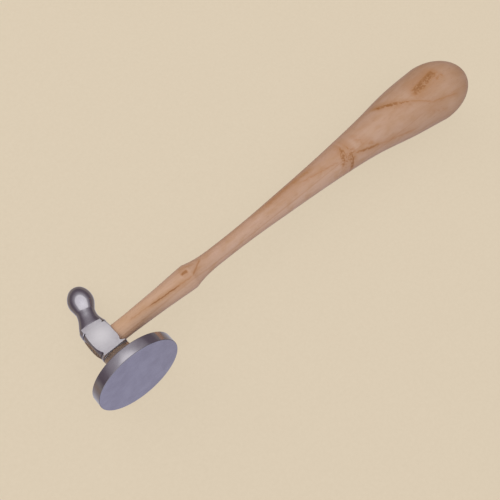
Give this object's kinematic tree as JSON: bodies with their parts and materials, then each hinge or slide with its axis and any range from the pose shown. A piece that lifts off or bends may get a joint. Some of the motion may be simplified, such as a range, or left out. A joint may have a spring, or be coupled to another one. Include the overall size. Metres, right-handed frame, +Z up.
{
  "type": "chasing hammer",
  "caption": "Small metalworking hammer with a broad flat face, milled cheeks and a ball peen, wedged on a slender waisted handle with a bulb-shaped grip.",
  "frame": {"origin": "on the bench under the middle of the lying hammer, at the bottom centre of its bounding box", "axes": "+X along the handle from the head to the grip, +Z up from the bench, -Y the side that the striking face looks to, tilted upwards"},
  "size_m": [0.246, 0.0552, 0.0375],
  "materials": {
    "head_steel": "turned and polished, with satin milled cheeks",
    "handle_wood": "sanded pale hardwood, thin satin lacquer",
    "wedge_wood": "sawn end grain",
    "wedge_steel": "plain, hammered in"
  },
  "bodies": {
    "root": {"hammer_head": "head_steel", "handle": "handle_wood", "wood_wedge": "wedge_wood", "steel_wedge": "wedge_steel"}
  },
  "joints": []
}
